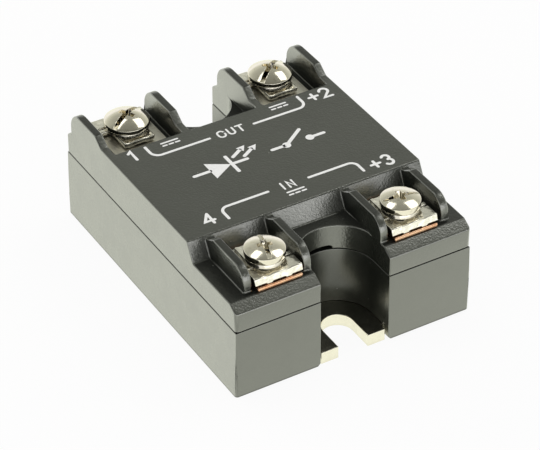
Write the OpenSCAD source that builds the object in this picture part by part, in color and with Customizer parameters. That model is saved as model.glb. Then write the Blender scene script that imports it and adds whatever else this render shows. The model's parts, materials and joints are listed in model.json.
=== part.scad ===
// Panel mount solid state relay with four screw terminals.
// Millimetres, +Z up. The origin is on the mounting face, under the middle of the case.
// The output end with terminals 1 and 2 is at +Y, the input end with 3 and 4 at -Y.

/* [Case] */
// Width of the case at its foot
case_w = 44.5; // [44.2:0.1:45.5]
// Length of the case at its foot
case_l = 58; // [57.8:0.1:59]
// Draft of each side face between foot and seam
draft = 0.25; // [0.05:0.05:0.4]
// Middle height of the seam between case and cover
seam_z = 13.1; // [12.8:0.1:13.6]
// Height of the open groove at the seam
seam_gap = 0.1; // [0.1:0.05:0.4]
// Wall of case and cover
wall = 1.6; // [1.4:0.1:1.8]
// Radius of the upright corners
corner_r = 0.6; // [0.3:0.1:1.2]
// Lift of the case foot above the mounting face
foot_lift = 0.2; // [0.1:0.05:0.4]
// Chamfer of the case foot beside each notch
foot_chamfer = 0.5; // [0.3:0.1:1]

/* [Notches] */
// Width of the notch over each mounting screw
notch_w = 12.9; // [12.6:0.1:13.2]
// Wall around each notch
notch_wall = 1.4; // [1.2:0.1:1.5]
// Width of the relief in the cover's lower edge at the back of each notch
relief_w = 4.6; // [3:0.2:6]
// Height of that relief
relief_h = 0.6; // [0.3:0.1:0.9]

/* [Baseplate] */
// Thickness of the baseplate
base_t = 2.3; // [2:0.1:2.6]
// Width of the tab that shows in each notch
tab_w = 12.2; // [11.6:0.1:12.4]
// Setback of each tab from the end of the case
tab_setback = 0.5; // [0.3:0.1:0.9]
// Distance between the two mounting screws
mount_span = 47.6; // [47.2:0.1:48]
// Width of the open mounting slot
slot_w = 5.6; // [5:0.1:5.8]
// Diameter of the round mounting hole
hole_d = 4.8; // [4.4:0.1:5.2]

/* [Cover] */
// Height of the two terminal ledges
ledge_z = 17.85; // [17.6:0.05:18.1]
// Height of the raised label plate
plate_z = 21.2; // [20.9:0.1:21.5]
// Length of the label plate along its top
plate_l = 26.8; // [26.4:0.1:27.2]
// Slope of the step wall, as its run from plate to ledge
step_run = 1.85; // [1.6:0.05:2]
// Run of the bevel along each end of the cover
bevel_run = 1.95; // [1.6:0.05:2.2]
// Drop of that bevel
bevel_drop = 1.15; // [0.8:0.05:1.3]
// Depth of the cover's lip inside the case
lip_h = 1.8; // [1.2:0.1:2.2]
// Thickness of that lip
lip_t = 0.9; // [0.7:0.1:1]

/* [Barriers] */
// Thickness of each barrier
barrier_t = 1.45; // [1.3:0.05:1.5]
// Height of the barriers beside the output terminals
output_barrier_z = 22.7; // [22.4:0.1:23]
// Rounding of the rear top corner of those barriers
output_barrier_r = 3.4; // [3:0.1:3.6]
// Height of the barriers beside the input terminals
input_barrier_z = 22; // [21.8:0.1:22.2]
// Rounding of the front top corner of those barriers
input_barrier_r = 3.1; // [2.8:0.1:3.3]
// Distance from the middle to the outer face of the barrier outside terminal 3
barrier_3_x = 19.5; // [19.2:0.1:19.8]
// Distance from the middle to the outer face of the barrier outside terminal 4
barrier_4_x = 18.8; // [18.6:0.1:19]

/* [Output terminals] */
// Distance between the two output screws
output_span = 28.1; // [27.8:0.1:28.3]
// Distance of the output screws from the middle
output_y = 21.55; // [21.4:0.05:21.7]
// Width of the terminal strip
output_strip_w = 9.8; // [9:0.1:10]
// Width of the pressure plate
output_clamp_w = 9.8; // [9:0.1:10]
// Thickness of the pressure plate
output_clamp_t = 0.9; // [0.8:0.05:1]
// Depth of the pressure plate's ribs
output_rib_h = 0.2; // [0.1:0.05:0.3]
// Thickness of the lock washer
output_washer_t = 0.6; // [0.5:0.05:0.7]
// Diameter of the screw head
output_head_d = 7.8; // [7.4:0.1:8]
// Height of the head's straight rim
output_rim_h = 0.8; // [0.6:0.05:1]
// Height of the head's dome
output_dome_h = 1.3; // [1.1:0.05:1.35]
// Diameter of the screw shank
output_shank_d = 4.17; // [4:0.01:4.3]
// Length of the screw shank
output_shank_l = 9; // [8.4:0.1:9.4]

/* [Input terminals] */
// Distance between the two input screws
input_span = 25.4; // [25.2:0.1:25.6]
// Distance of the input screws from the middle
input_y = 21.8; // [21.7:0.05:21.9]
// Width of the terminal strip
input_strip_w = 8.2; // [7.6:0.1:8.4]
// Width of the pressure plate
input_clamp_w = 8.7; // [8.2:0.1:8.7]
// Thickness of the pressure plate
input_clamp_t = 1.15; // [1:0.05:1.2]
// Depth of the pressure plate's ribs
input_rib_h = 0.2; // [0.1:0.05:0.25]
// Thickness of the lock washer
input_washer_t = 0.75; // [0.6:0.05:0.8]
// Diameter of the screw head
input_head_d = 6.8; // [6.4:0.1:7]
// Height of the head's straight rim
input_rim_h = 1.15; // [1:0.05:1.2]
// Height of the head's dome
input_dome_h = 0.7; // [0.6:0.05:0.75]
// Diameter of the screw shank
input_shank_d = 3.5; // [3.4:0.01:3.6]
// Length of the screw shank
input_shank_l = 8.5; // [8:0.1:8.8]

/* [Strips and clamps] */
// Thickness of the terminal strips
strip_t = 0.7; // [0.6:0.05:0.8]
// Reach of each strip and clamp from its screw towards the wire
strip_out = 5; // [4.8:0.05:5.1]
// Reach of each pressure plate's tongue from its screw towards the label plate
clamp_in = 4.6; // [4.2:0.1:4.7]
// Width of that tongue
tongue_w = 5.8; // [5.6:0.1:6.2]
// Distance of the shoulders beside the tongue from the screw, towards the wire
shoulder_y = 0.4; // [0.2:0.1:0.8]
// Distance of each pressure plate's ribs from its middle
rib_x = 1.75; // [1.6:0.05:1.9]
// Width of a rib across its flat foot
rib_foot_w = 0.9; // [0.7:0.1:1]
// Depth of the groove over each rib, as a share of the rib's depth
groove_share = 0.5; // [0.3:0.1:0.8]
// Lean of each pressure plate's edge towards the wire, as run over rise
front_lean = 0.35; // [0.2:0.05:0.6]
// Wall of the tapped collar under each strip
collar_wall = 0.9; // [0.7:0.05:1]
// Depth of that collar
collar_h = 1.4; // [1:0.1:1.5]

/* [Power stage] */
// Width of the ceramic substrate
substrate_w = 34; // [33.6:0.1:35]
// Length of the ceramic substrate
substrate_l = 24; // [23.8:0.1:24.2]
// Thickness of the ceramic substrate
substrate_t = 0.63; // [0.5:0.01:0.8]
// Thickness of its copper lands
land_t = 0.3; // [0.2:0.05:0.4]
// Side of a transistor chip
chip_w = 6; // [5:0.1:6.2]
// Thickness of a transistor chip
chip_t = 0.4; // [0.3:0.05:0.5]
// Height of the potting gel above the mounting face
gel_z = 6.8; // [6.4:0.1:7]

/* [Driver board] */
// Height of the board's lower face
board_z = 7.4; // [7.2:0.1:7.6]
// Thickness of the board
board_t = 1.2; // [1:0.1:1.3]
// Width of the board
board_w = 37; // [36:0.5:38]

/* [Hidden] */
$fn = 64;

// Gaps between pieces
glue_gap = 0.05;
seat_gap = 0.03;
lift_gap = 0.06;
turn_gap = 0.05;
well_gap = 0.15;

// Colours
plastic = [0.13, 0.14, 0.13];
aluminium = [0.82, 0.81, 0.76];
nickel = [0.80, 0.78, 0.70];
copper = [0.80, 0.48, 0.28];
ceramic = [0.93, 0.92, 0.88];
board_green = [0.10, 0.33, 0.18];
black_resin = [0.06, 0.06, 0.06];
pale_lacquer = [0.55, 0.68, 0.75];
amber_glass = [0.75, 0.35, 0.22];
blue_sleeve = [0.12, 0.15, 0.30];
gel_grey = [0.70, 0.68, 0.60];

// Case and cover
far = 100;
cover_w = case_w - 2 * draft;
cover_l = case_l - 2 * draft;
inner_w = cover_w - 2 * wall;
inner_l = cover_l - 2 * wall;
case_top = seam_z - seam_gap / 2;
cover_foot = seam_z + seam_gap / 2;
notch_r = notch_w / 2;
mount_y = mount_span / 2;
relief_reach = notch_r + notch_wall + lip_t;
ledge_y = cover_l / 2 - bevel_run;
ceiling_z = ledge_z - wall;
plate_foot_l = plate_l + 2 * step_run;
lip_w = inner_w - 2 * glue_gap;
lip_l = inner_l - 2 * glue_gap;

// Barriers beside the output terminals, as distances from the middle and heights
barrier_root = 1;
barrier_root_y = plate_l / 2 - barrier_root;
barrier_root_z = ledge_z - barrier_root;
output_slope_y0 = 15.8;
output_slope_y1 = 17.9;
output_barrier_x = cover_w / 2;
output_barrier_end = ledge_y + 0.2;
// Barriers beside the input terminals
input_root_z = 20.7;
input_slope_y0 = 14.3;
input_slope_z0 = 20.9;
input_slope_y1 = 16.2;
input_barrier_end = ledge_y - 1;

// Stack of strip, clamp, washer and head
strip_z = ledge_z + seat_gap;
strip_top = strip_z + strip_t;
clamp_z = strip_top + lift_gap;
output_washer_z = clamp_z + output_clamp_t + output_rib_h + seat_gap;
input_washer_z = clamp_z + input_clamp_t + input_rib_h + seat_gap;
output_head_z = output_washer_z + output_washer_t + turn_gap;
input_head_z = input_washer_z + input_washer_t + turn_gap;
output_strip_in = 5.5;
input_strip_in = 6;
output_leg_w = 6;
input_leg_w = 4;
clamp_setback = 0.3;
clamp_play = 0.3;
score_y = 1.45;
score_w = 0.3;
score_d = 0.3;
washer_setback = 0.4;
washer_lean = 0.4;
washer_play = 0.2;
well_wall = 0.9;
well_floor = 1;
well_spare = 0.5;

// Drive of the screw heads, as shares of the head's diameter
slot_share = 0.13;
cross_share = 0.56;

// Power stage
substrate_y = 3;
substrate_z = base_t + glue_gap;
land_z = substrate_z + substrate_t;
land_top = land_z + land_t;
chip_z = land_top + seat_gap;
chip_top = chip_z + chip_t;
chip_x = 6;
chip_ys = [9, 1];
strap_t = 0.4;
strap_w = 3.5;
strap_rise = 1.1;
strap_land_x = -5;
foot_l = 3;
pin_r = 0.4;
pins = [[-15.5, -6.5], [-6.5, -6.5], [15.2, -1], [-15.2, 6]];

// Driver board
board_top = board_z + board_t;
part_z = board_top + seat_gap;
board_y0 = -18.5;
board_y1 = 10.5;
board_play = 0.15;
lead_r = 0.3;
leg_tail = 0.4;
pin_tail = 0.8;
isolator_at = [0, -3];
isolator_w = 6.4;
isolator_l = 8.9;
isolator_h = 3.4;
isolator_lift = 0.5;

// Solid with rounded upright corners, standing at z0
module rounded_slab(w, l, z0, z1, r) {
    translate([0, 0, z0])
        linear_extrude(z1 - z0) {
            square([w - 2 * r, l], center = true);
            square([w, l - 2 * r], center = true);
            for (sx = [-1, 1], sy = [-1, 1])
                translate([sx * (w / 2 - r), sy * (l / 2 - r)]) circle(r);
        }
}

// Box given by its lower and upper corners
module box(low, high) {
    translate(low) cube(high - low);
}

// Outline drawn as [distance along Y, height], swept along X from x0 to x1
module along_x(x0, x1, outline) {
    translate([x0, 0, 0])
        rotate([90, 0, 90])
            linear_extrude(x1 - x0) polygon(outline);
}

// Outline drawn as [distance along X, height], swept along Y from y0 to y1
module along_y(y0, y1, outline) {
    translate([0, y1, 0])
        rotate([90, 0, 0])
            linear_extrude(y1 - y0) polygon(outline);
}

// Upright prism of one end notch, round at its inner end
module notch_prism(side, r, z0, z1) {
    translate([0, side * mount_y, z0]) {
        cylinder(r = r, h = z1 - z0);
        box([-r, min(0, side * far), 0], [r, max(0, side * far), z1 - z0]);
    }
}

// Both end notches
module notches(r, z0, z1) {
    for (side = [-1, 1]) notch_prism(side, r, z0, z1);
}

// Places children at an output screw; local +Y points to the wire
module at_output(side) {
    translate([side * output_span / 2, output_y, 0]) children();
}

// Places children at an input screw; local +Y points to the wire
module at_input(side) {
    translate([side * input_span / 2, -input_y, 0]) rotate([0, 0, 180]) children();
}

// Space inside the walls, with the notch walls left standing
module chamber(w, l, z0, z1) {
    difference() {
        box([-w / 2, -l / 2, z0], [w / 2, l / 2, z1]);
        notches(notch_r + notch_wall, z0 - 1, z1 + 1);
    }
}

module baseplate() {
    plate_w = inner_w - 2 * glue_gap;
    plate_len = inner_l - 2 * glue_gap;
    tab_y = case_l / 2 - tab_setback;
    color(aluminium)
        difference() {
            union() {
                rounded_slab(plate_w, plate_len, 0, base_t, corner_r);
                box([-tab_w / 2, -tab_y, 0], [tab_w / 2, tab_y, base_t]);
            }
            translate([0, mount_y, -1]) cylinder(d = hole_d, h = base_t + 2);
            notch_prism(-1, slot_w / 2, -1, base_t + 1);
        }
}

// Drafted outer block of the case
module case_block() {
    half_w = case_w / 2;
    half_l = case_l / 2;
    intersection() {
        rounded_slab(case_w, case_l, foot_lift, case_top, corner_r);
        along_y(-far, far, [
            [-half_w, 0], [half_w, 0], [half_w - draft, seam_z], [draft - half_w, seam_z]
        ]);
        along_x(-far, far, [
            [-half_l, 0], [half_l, 0], [half_l - draft, seam_z], [draft - half_l, seam_z]
        ]);
    }
}

module case() {
    notch_edge = notch_r + foot_chamfer;
    chamfer_top = foot_lift + foot_chamfer;
    color(plastic)
        difference() {
            case_block();
            notches(notch_r, -1, far);
            chamber(inner_w, inner_l, -1, far);
            box([-inner_w / 2, -inner_l / 2, -1], [inner_w / 2, inner_l / 2, base_t + glue_gap]);
            for (side = [-1, 1])
                along_y(-far, far, [
                    [side * notch_edge, foot_lift - seat_gap], [0, foot_lift - seat_gap],
                    [0, chamfer_top], [side * notch_r, chamfer_top]
                ]);
        }
}

// Outer block of the cover: end bevels, ledges and the raised label plate
module cover_block() {
    end_y = cover_l / 2;
    half_profile = [
        [end_y, cover_foot], [end_y, ledge_z - bevel_drop], [ledge_y, ledge_z],
        [plate_foot_l / 2, ledge_z], [plate_l / 2, plate_z]
    ];
    mirrored = [for (i = [len(half_profile) - 1:-1:0]) [-half_profile[i][0], half_profile[i][1]]];
    intersection() {
        rounded_slab(cover_w, cover_l, cover_foot, plate_z, corner_r);
        along_x(-far, far, concat(half_profile, mirrored));
    }
}

// Barrier towards +Y whose right face is at x, from its rise at the label plate to a rounded end
module barrier(x, rise, end_y, r) {
    top = rise[len(rise) - 1];
    arc_y = end_y - r;
    arc_z = top[1] - r;
    along_x(x - barrier_t, x, concat(
        [[barrier_root_y, barrier_root_z]], rise, [[arc_y, top[1]], [arc_y, barrier_root_z]]
    ));
    box([x - barrier_t, top[0], barrier_root_z], [x, end_y, arc_z]);
    intersection() {
        translate([x - barrier_t, arc_y, arc_z])
            rotate([0, 90, 0]) cylinder(r = r, h = barrier_t);
        box([-far, arc_y, arc_z], [far, far, far]);
    }
}

// Barriers beside the output terminals and the rear notch
module output_barriers() {
    rise = [
        [barrier_root_y, plate_z], [output_slope_y0, plate_z], [output_slope_y1, output_barrier_z]
    ];
    for (x = [barrier_t - output_barrier_x, -notch_r, notch_r + barrier_t, output_barrier_x])
        barrier(x, rise, output_barrier_end, output_barrier_r);
}

// Barriers beside the input terminals and the front notch
module input_barriers() {
    rise = [
        [barrier_root_y, input_root_z], [input_slope_y0, input_slope_z0], [input_slope_y1, input_barrier_z]
    ];
    mirror([0, 1, 0])
        for (x = [barrier_t - barrier_4_x, -notch_r, notch_r + barrier_t, barrier_3_x])
            barrier(x, rise, input_barrier_end, input_barrier_r);
}

// Outer radius of a tapped collar
function collar_r(shank_d) = shank_d / 2 + turn_gap + collar_wall;

// Closed well under a strip that keeps the screw's end from the board
module well(shank_d, end_z) {
    r = collar_r(shank_d) + well_gap + well_wall;
    floor_z = end_z - well_spare - well_floor;
    translate([0, 0, floor_z]) cylinder(r = r, h = ceiling_z + wall / 2 - floor_z);
}

// Bore of that well and the slit for the strip's leg
module well_bore(shank_d, end_z, strip_in, leg_w) {
    r = collar_r(shank_d) + well_gap;
    floor_z = end_z - well_spare;
    translate([0, 0, floor_z]) cylinder(r = r, h = ledge_z + 1 - floor_z);
    box([-leg_w / 2 - well_gap, -strip_in - well_gap, ceiling_z - 1],
        [leg_w / 2 + well_gap, strip_t - strip_in + well_gap, ledge_z + 1]);
}

module cover() {
    output_end = output_head_z - output_shank_l;
    input_end = input_head_z - input_shank_l;
    chamber_l = plate_l - 2 * wall;
    color(plastic)
        difference() {
            union() {
                difference() {
                    union() {
                        cover_block();
                        output_barriers();
                        input_barriers();
                    }
                    chamber(inner_w, inner_l, cover_foot - 1, ceiling_z);
                    box([-inner_w / 2, -chamber_l / 2, cover_foot],
                        [inner_w / 2, chamber_l / 2, plate_z - wall]);
                }
                difference() {
                    chamber(lip_w, lip_l, case_top - lip_h, ceiling_z);
                    chamber(lip_w - 2 * lip_t, lip_l - 2 * lip_t, 0, far);
                    notches(notch_r + notch_wall + lip_t, 0, far);
                }
                for (side = [-1, 1]) {
                    at_output(side) well(output_shank_d, output_end);
                    at_input(side) well(input_shank_d, input_end);
                }
            }
            notches(notch_r, 0, far);
            for (side = [-1, 1]) {
                at_output(side) well_bore(output_shank_d, output_end, output_strip_in, output_leg_w);
                at_input(side) well_bore(input_shank_d, input_end, input_strip_in, input_leg_w);
                mirror([0, side < 0 ? 1 : 0, 0])
                    box([-relief_w / 2, mount_y - relief_reach, 0],
                        [relief_w / 2, mount_y, cover_foot + relief_h]);
            }
        }
}

// Strip on the ledge with its tapped collar and a leg down through the cover
module strip(w, shank_d, strip_in, leg_w, leg_end) {
    difference() {
        union() {
            box([-w / 2, -strip_in, strip_z], [w / 2, strip_out, strip_top]);
            translate([0, 0, strip_z - collar_h])
                cylinder(r = collar_r(shank_d), h = collar_h + strip_t / 2);
            box([-leg_w / 2, -strip_in, leg_end], [leg_w / 2, strip_t - strip_in, strip_top]);
        }
        translate([0, 0, strip_z - collar_h - 1])
            cylinder(d = shank_d + 2 * turn_gap, h = collar_h + strip_t + 2);
    }
}

// Strip whose leg ends in a foot on the substrate's copper
module output_strip(side) {
    foot_z = land_top + seat_gap;
    at_output(side) {
        strip(output_strip_w, output_shank_d, output_strip_in, output_leg_w, foot_z);
        box([-output_leg_w / 2, -output_strip_in - foot_l, foot_z],
            [output_leg_w / 2, strip_t - output_strip_in, foot_z + strip_t]);
    }
}

// Strip whose leg goes through the driver board
module input_strip(side) {
    at_input(side)
        strip(input_strip_w, input_shank_d, input_strip_in, input_leg_w, board_z - leg_tail);
}

module output_terminal_1() {
    color(nickel) output_strip(-1);
}

module output_terminal_2() {
    color(nickel) output_strip(1);
}

module input_terminal_3() {
    color(copper) input_strip(1);
}

module input_terminal_4() {
    color(copper) input_strip(-1);
}

// Half of a line across a pressure plate at height z, with a dip where the rib is
function dipped(half, z, depth, run) = [
    [rib_x - rib_foot_w / 2 - run, z], [rib_x - rib_foot_w / 2, z - depth],
    [rib_x + rib_foot_w / 2, z - depth], [rib_x + rib_foot_w / 2 + run, z], [half, z]
];

// The same points in reverse order, on the side of the plate given by sign
function reversed(points, sign) = [
    for (i = [len(points) - 1:-1:0]) [sign * points[i][0], points[i][1]]
];

// Pressure plate with two ribs pressed down, a scored top and a leaning edge towards the wire
module clamp(w, t, rib_h, shank_d) {
    out_y = strip_out - clamp_setback;
    top = t + rib_h;
    lower = dipped(w / 2, rib_h, rib_h, rib_h);
    upper = dipped(w / 2, top, groove_share * rib_h, rib_h);
    upper_left = [for (p = upper) [-p[0], p[1]]];
    translate([0, 0, clamp_z])
        difference() {
            along_y(-clamp_in, out_y,
                concat(reversed(lower, -1), lower, reversed(upper, 1), upper_left));
            translate([0, 0, -1]) cylinder(d = shank_d + 2 * clamp_play, h = top + 2);
            along_x(-far, far, [
                [out_y, 0], [out_y + top, 0], [out_y + top, 2 * top],
                [out_y - 2 * top * front_lean, 2 * top]
            ]);
            for (side = [-1, 1])
                mirror([side < 0 ? 1 : 0, 0, 0]) {
                    box([tongue_w / 2, -far, -1], [far, shoulder_y, far]);
                    box([tongue_w / 2, score_y - score_w / 2, top - score_d],
                        [far, score_y + score_w / 2, far]);
                }
        }
}

module output_clamp_1() {
    color(nickel) at_output(-1) clamp(output_clamp_w, output_clamp_t, output_rib_h, output_shank_d);
}

module output_clamp_2() {
    color(nickel) at_output(1) clamp(output_clamp_w, output_clamp_t, output_rib_h, output_shank_d);
}

module input_clamp_3() {
    color(nickel) at_input(1) clamp(input_clamp_w, input_clamp_t, input_rib_h, input_shank_d);
}

module input_clamp_4() {
    color(nickel) at_input(-1) clamp(input_clamp_w, input_clamp_t, input_rib_h, input_shank_d);
}

// Split lock washer, narrower towards the head
module lock_washer(z, t, head_d, shank_d) {
    split_w = 0.6;
    split_turn = 205;
    foot_d = head_d - washer_setback;
    translate([0, 0, z])
        difference() {
            cylinder(d1 = foot_d, d2 = foot_d - 2 * washer_lean * t, h = t);
            translate([0, 0, -1]) cylinder(d = shank_d + 2 * washer_play, h = t + 2);
            rotate([0, 0, split_turn]) box([0, -split_w / 2, -1], [head_d, split_w / 2, t + 1]);
        }
}

module output_washer_1() {
    color(nickel) at_output(-1)
        lock_washer(output_washer_z, output_washer_t, output_head_d, output_shank_d);
}

module output_washer_2() {
    color(nickel) at_output(1)
        lock_washer(output_washer_z, output_washer_t, output_head_d, output_shank_d);
}

module input_washer_3() {
    color(nickel) at_input(1)
        lock_washer(input_washer_z, input_washer_t, input_head_d, input_shank_d);
}

module input_washer_4() {
    color(nickel) at_input(-1)
        lock_washer(input_washer_z, input_washer_t, input_head_d, input_shank_d);
}

// Pan head screw with a slot across the head and a short cross slot
module terminal_screw(head_z, head_d, rim_h, dome_h, shank_d, shank_l) {
    head_r = head_d / 2;
    dome_r = (head_r * head_r + dome_h * dome_h) / (2 * dome_h);
    slot = slot_share * head_d;
    cross_l = cross_share * head_d;
    translate([0, 0, head_z])
        difference() {
            union() {
                cylinder(r = head_r, h = rim_h);
                intersection() {
                    translate([0, 0, rim_h + dome_h - dome_r]) sphere(dome_r);
                    translate([0, 0, rim_h / 2]) cylinder(r = head_r, h = rim_h + dome_h);
                }
                translate([0, 0, -shank_l]) cylinder(d = shank_d, h = shank_l + rim_h / 2);
            }
            box([-head_d, -slot / 2, rim_h], [head_d, slot / 2, far]);
            box([-slot / 2, -cross_l / 2, rim_h / 2], [slot / 2, cross_l / 2, far]);
        }
}

module output_screw(side, turn) {
    at_output(side) rotate([0, 0, turn])
        terminal_screw(output_head_z, output_head_d, output_rim_h, output_dome_h,
            output_shank_d, output_shank_l);
}

module input_screw(side, turn) {
    at_input(side) rotate([0, 0, turn])
        terminal_screw(input_head_z, input_head_d, input_rim_h, input_dome_h,
            input_shank_d, input_shank_l);
}

module output_screw_1() {
    color(nickel) output_screw(side = -1, turn = 30);
}

module output_screw_2() {
    color(nickel) output_screw(side = 1, turn = 38);
}

module input_screw_3() {
    color(nickel) input_screw(side = 1, turn = -7);
}

module input_screw_4() {
    color(nickel) input_screw(side = -1, turn = 76);
}

module ceramic_substrate() {
    color(ceramic)
        translate([0, substrate_y, 0])
            rounded_slab(substrate_w, substrate_l, substrate_z, land_z, corner_r);
}

// Copper land on the substrate between two corners
module land(low, high) {
    box([low[0], low[1], land_z], [high[0], high[1], land_top]);
}

module substrate_pads() {
    margin = 0.6;
    edge_x = substrate_w / 2 - margin;
    edge_y = substrate_y + substrate_l / 2 - margin;
    land_gap = 1;
    drain_y = -6;
    source_y = 0;
    pad = [0.8, 1.6];
    color(copper) {
        land([land_gap, drain_y], [edge_x, edge_y]);
        land([-edge_x, source_y], [-land_gap, edge_y]);
        for (i = [0, 1]) land(pins[i] - pad, pins[i] + pad);
    }
}

// Chip soldered on the drain land
module chip(i) {
    box([chip_x - chip_w / 2, chip_ys[i] - chip_w / 2, chip_z],
        [chip_x + chip_w / 2, chip_ys[i] + chip_w / 2, chip_top]);
}

module transistor_chip_1() {
    color(black_resin) chip(0);
}

module transistor_chip_2() {
    color(black_resin) chip(1);
}

// Bent strap from a chip's top to the source land
module source_strap(i) {
    x0 = strap_land_x;
    x1 = chip_x;
    foot = 1.5;
    z0 = land_top + seat_gap;
    z1 = chip_top + seat_gap;
    bridge = z1 + strap_rise;
    outline = [
        [x0 - foot, z0], [x0 + strap_t, z0], [x0 + strap_t, bridge - strap_t],
        [x1 - strap_t, bridge - strap_t], [x1 - strap_t, z1], [x1 + foot, z1],
        [x1 + foot, z1 + strap_t], [x1, z1 + strap_t], [x1, bridge],
        [x0, bridge], [x0, z0 + strap_t], [x0 - foot, z0 + strap_t]
    ];
    along_y(chip_ys[i] - strap_w / 2, chip_ys[i] + strap_w / 2, outline);
}

module source_strap_1() {
    color(copper) source_strap(0);
}

module source_strap_2() {
    color(copper) source_strap(1);
}

module board_pins() {
    color(nickel)
        for (p = pins)
            translate([p[0], p[1], land_top + seat_gap])
                cylinder(r = pin_r, h = board_top + pin_tail - land_top);
}

module circuit_board() {
    leg_y = -input_y + input_strip_in - strip_t / 2;
    leg_slot = [input_leg_w + 2 * board_play, strip_t + 2 * board_play, far];
    color(board_green)
        difference() {
            box([-board_w / 2, board_y0, board_z], [board_w / 2, board_y1, board_top]);
            notches(notch_r + notch_wall + board_play, 0, far);
            for (p = pins) translate([p[0], p[1], 0]) cylinder(r = pin_r + board_play, h = far);
            for (side = [-1, 1])
                translate([side * input_span / 2, leg_y, 0]) cube(leg_slot, center = true);
        }
}

module isolator() {
    z0 = part_z + isolator_lift;
    dot_r = 0.6;
    dot_in = 1.4;
    dot_h = 0.2;
    color(black_resin)
        translate([isolator_at[0], isolator_at[1], 0])
            difference() {
                rounded_slab(isolator_w, isolator_l, z0, z0 + isolator_h, dot_h);
                translate([dot_in - isolator_w / 2, isolator_l / 2 - dot_in, z0 + isolator_h - dot_h])
                    cylinder(r = dot_r, h = 1);
            }
}

module isolator_leads() {
    lead_w = 1;
    lead_t = 0.3;
    reach = 1.4;
    pitch = 2.54;
    x0 = isolator_w / 2 + seat_gap;
    z1 = part_z + isolator_lift + isolator_h / 2;
    color(nickel)
        translate([isolator_at[0], isolator_at[1], 0])
            for (side = [-1, 1], row = [-1, 0, 1])
                mirror([side < 0 ? 1 : 0, 0, 0])
                    along_y(row * pitch - lead_w / 2, row * pitch + lead_w / 2, [
                        [x0, z1 - lead_t], [x0 + lead_t, z1 - lead_t], [x0 + lead_t, part_z],
                        [x0 + reach, part_z], [x0 + reach, part_z + lead_t],
                        [x0 + 2 * lead_t, part_z + lead_t], [x0 + 2 * lead_t, z1], [x0, z1]
                    ]);
}

// Part lying along X with one bent lead at each end
module axial_part(at, body_r, body_l, span) {
    axis_z = part_z + body_r + lead_r;
    translate([at[0], at[1], 0]) {
        translate([-body_l / 2, 0, axis_z]) rotate([0, 90, 0]) cylinder(r = body_r, h = body_l);
        translate([-span / 2, 0, axis_z]) rotate([0, 90, 0]) cylinder(r = lead_r, h = span);
        for (side = [-1, 1])
            translate([side * span / 2, 0, part_z]) cylinder(r = lead_r, h = axis_z + lead_r - part_z);
    }
}

module input_resistor() {
    color(pale_lacquer) axial_part(at = [-10, -11], body_r = 1.25, body_l = 6.5, span = 9.5);
}

module polarity_diode() {
    color(black_resin) axial_part(at = [10, -11], body_r = 1.35, body_l = 5.2, span = 9.5);
}

module gate_resistor() {
    color(pale_lacquer) axial_part(at = [-9, 3], body_r = 0.95, body_l = 4, span = 7.5);
}

module gate_zener() {
    color(amber_glass) axial_part(at = [9, 3], body_r = 0.9, body_l = 3.8, span = 7.5);
}

module surge_suppressor() {
    color(black_resin) axial_part(at = [0, 7.6], body_r = 2.2, body_l = 8, span = 13);
}

module limiter_transistor() {
    at = [-11.5, -4];
    body_r = 2.3;
    body_h = 4.6;
    flat_y = 1.4;
    leg_r = 0.25;
    leg_h = 1.5;
    pitch = 1.27;
    color(black_resin)
        translate([at[0], at[1], part_z]) {
            difference() {
                translate([0, 0, leg_h]) cylinder(r = body_r, h = body_h);
                box([-far, flat_y, 0], [far, far, far]);
            }
            for (i = [-1, 0, 1])
                translate([i * pitch, 0, 0]) cylinder(r = leg_r, h = leg_h + leg_r);
        }
}

module filter_capacitor() {
    at = [11, -4];
    body_r = 2.5;
    body_h = 7;
    stand = 0.5;
    color(blue_sleeve)
        translate([at[0], at[1], part_z]) {
            translate([0, 0, stand]) cylinder(r = body_r, h = body_h);
            for (i = [-1, 1])
                translate([i, 0, 0]) cylinder(r = lead_r, h = stand + lead_r);
        }
}

module potting_gel() {
    gel_gap = 2 * glue_gap;
    color(gel_grey)
        difference() {
            box([-inner_w / 2 + gel_gap, -inner_l / 2 + gel_gap, base_t + gel_gap],
                [inner_w / 2 - gel_gap, inner_l / 2 - gel_gap, gel_z]);
            notches(notch_r + notch_wall + gel_gap, 0, far);
            ceramic_substrate();
            substrate_pads();
            for (i = [0, 1]) {
                chip(i);
                source_strap(i);
            }
            for (side = [-1, 1]) output_strip(side);
            board_pins();
        }
}

baseplate();
case();
cover();
output_terminal_1();
output_terminal_2();
input_terminal_3();
input_terminal_4();
output_clamp_1();
output_clamp_2();
input_clamp_3();
input_clamp_4();
output_washer_1();
output_washer_2();
input_washer_3();
input_washer_4();
output_screw_1();
output_screw_2();
input_screw_3();
input_screw_4();
ceramic_substrate();
substrate_pads();
transistor_chip_1();
transistor_chip_2();
source_strap_1();
source_strap_2();
circuit_board();
board_pins();
isolator();
isolator_leads();
input_resistor();
polarity_diode();
limiter_transistor();
filter_capacitor();
gate_resistor();
gate_zener();
surge_suppressor();
potting_gel();
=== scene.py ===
"""Looks of a panel mount solid state relay with four screw terminals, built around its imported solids."""

import json
import math

import bmesh
import bpy
from mathutils import Matrix, Vector

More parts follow.
